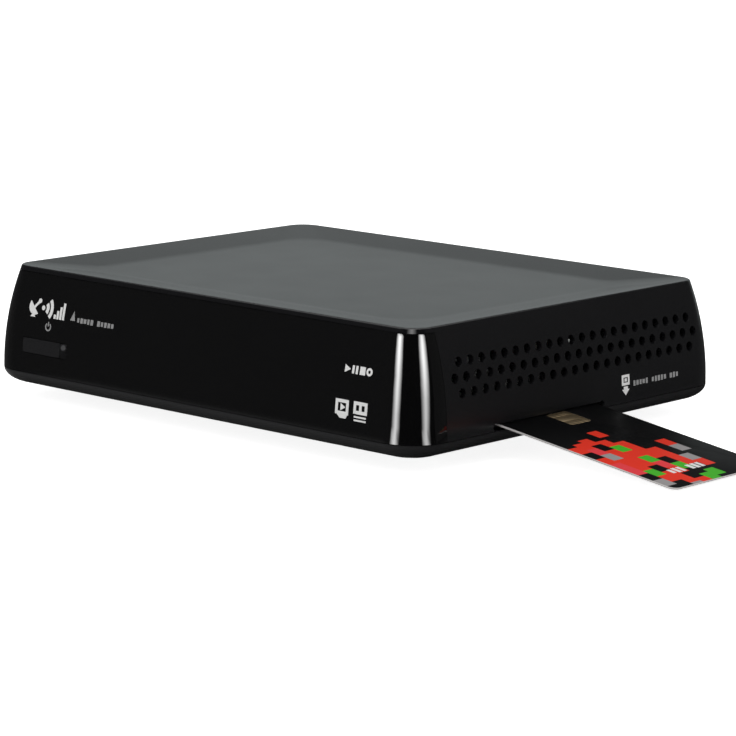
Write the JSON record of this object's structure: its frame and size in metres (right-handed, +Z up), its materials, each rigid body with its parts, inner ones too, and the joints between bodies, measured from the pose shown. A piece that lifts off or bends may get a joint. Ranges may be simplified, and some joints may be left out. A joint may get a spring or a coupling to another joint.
{
  "type": "satellite television receiver",
  "caption": "Low black set-top satellite receiver with flared sides, vent holes, a standby key, rear sockets and a smart card part way out of its side slot.",
  "frame": {"origin": "centre of the case in plan, on the surface that the rubber feet stand on", "axes": "+Z up; -Y is the gloss front with the standby key; +Y is the panel with the sockets; +X is the side with the card slot"},
  "size_m": [0.2959, 0.1797, 0.051],
  "materials": {
    "cover_plastic": "satin moulded black with a fine texture",
    "tray_plastic": "satin moulded black",
    "bezel_gloss": "polished black",
    "foot_rubber": "matt black",
    "panel_black": "black powder coat on sheet steel",
    "screw_steel": "zinc plated",
    "board_green": "green lacquer over copper tracks",
    "chip_black": "moulded epoxy",
    "sink_aluminium": "extruded",
    "tin_steel": "tin plated sheet",
    "sleeve_black": "shrunk sleeve",
    "ferrite_grey": "sintered",
    "nickel": "nickel plated",
    "insulator_white": "moulded",
    "socket_black": "moulded",
    "contact_gold": "gold plated",
    "audio_orange": "moulded",
    "rocker_black": "moulded",
    "plunger_brown": "moulded",
    "window_clear": "smoked clear",
    "led_clear": "clear epoxy",
    "ribbon_grey": "flat cable",
    "card_plastic": "laminated card with a printed face"
  },
  "bodies": {
    "case": {"base_tray": "tray_plastic", "rubber_feet": "foot_rubber", "top_cover": "cover_plastic", "front_bezel": "bezel_gloss", "rear_panel": "panel_black", "case_screws": "screw_steel", "panel_screws": "screw_steel", "main_board": "board_green", "board_screws": "screw_steel", "main_chip": "chip_black", "heat_sink": "sink_aluminium", "memory_chips": "chip_black", "flash_chip": "chip_black", "clock_crystal": "tin_steel", "capacitors": "sleeve_black", "power_coils": "ferrite_grey", "tuner_can": "tin_steel", "tuner_lid": "tin_steel", "lnb_out_connector": "nickel", "lnb_in_connector": "nickel", "lnb_insulators": "insulator_white", "lnb_nuts": "nickel", "hdmi_shell": "tin_steel", "hdmi_tongue": "socket_black", "scart_socket": "socket_black", "scart_contacts": "contact_gold", "rca_body": "audio_orange", "rca_barrel": "nickel", "usb_shell": "tin_steel", "usb_tongue": "insulator_white", "jack_body": "socket_black", "jack_pin": "nickel", "switch_housing": "socket_black", "switch_terminals": "contact_gold", "front_board": "board_green", "front_board_screws": "screw_steel", "tact_switch": "chip_black", "led_window": "window_clear", "status_led": "led_clear", "ir_receiver": "chip_black", "ribbon_sockets": "insulator_white", "front_ribbon": "ribbon_grey", "reader_ribbon": "ribbon_grey", "reader_frame": "socket_black", "reader_cover": "tin_steel", "contact_block": "socket_black", "contact_springs": "contact_gold", "reader_board": "board_green", "reader_screws": "screw_steel"},
    "card": {"smart_card": "card_plastic", "chip_contacts": "contact_gold"},
    "standby_key": {"standby_button": "bezel_gloss"},
    "switch_plunger": {"tact_plunger": "plunger_brown"},
    "power_rocker": {"switch_rocker": "rocker_black"}
  },
  "joints": [
    {"name": "card_slide", "type": "slide", "parent": "case", "child": "card", "axis": [0.9903, 0, -0.1392], "range_m": [-0.06, 0.008]},
    {"name": "standby_press", "type": "slide", "parent": "case", "child": "standby_key", "axis": [0, 1, 0], "range_m": [0, 0.0006], "stiffness_N_per_m": 2500},
    {"name": "plunger_press", "type": "slide", "parent": "case", "child": "switch_plunger", "axis": [0, 1, 0], "range_m": [0, 0.0003]},
    {"name": "rocker_tilt", "type": "hinge", "parent": "case", "child": "power_rocker", "pos_m": [0.08, 0.0784, 0.028], "axis": [1, 0, 0], "range_deg": [0, 20]}
  ],
  "couplings": [
    {"joint": "plunger_press", "follows": "standby_press", "ratio": 0.5}
  ]
}
